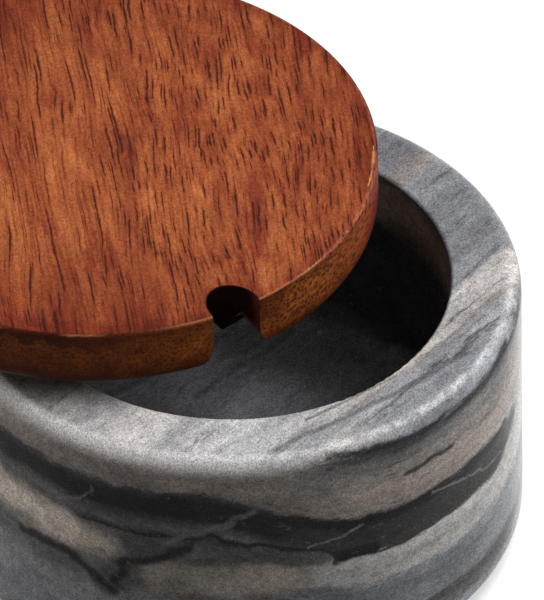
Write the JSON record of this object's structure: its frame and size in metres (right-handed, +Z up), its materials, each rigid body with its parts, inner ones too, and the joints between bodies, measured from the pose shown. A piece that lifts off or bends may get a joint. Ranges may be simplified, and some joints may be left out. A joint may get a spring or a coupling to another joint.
{
  "type": "salt cellar",
  "caption": "Round turned marble salt bowl on a non-slip pad, with a loose plugged wooden lid that has a leaning notch for a spoon's handle, set aside on the rim.",
  "frame": {"origin": "on the table, at the middle of the pad's lower face, under the bowl's axis", "axes": "+Z up along the bowl's axis; -Y is the side that the lid's spoon notch faces; +X to the right of someone who looks along +Y"},
  "size_m": [0.1151, 0.1263, 0.071],
  "materials": {
    "pad": "matte",
    "marble": "satin",
    "wood": "satin"
  },
  "bodies": {
    "bowl": {"base_pad": "pad", "marble_bowl": "marble"},
    "lid": {"wooden_lid": "wood"}
  },
  "joints": [
    {"name": "lid_lift", "type": "slide", "parent": "bowl", "child": "lid", "axis": [0, 0, 1], "range_m": [0, 0.06]}
  ]
}
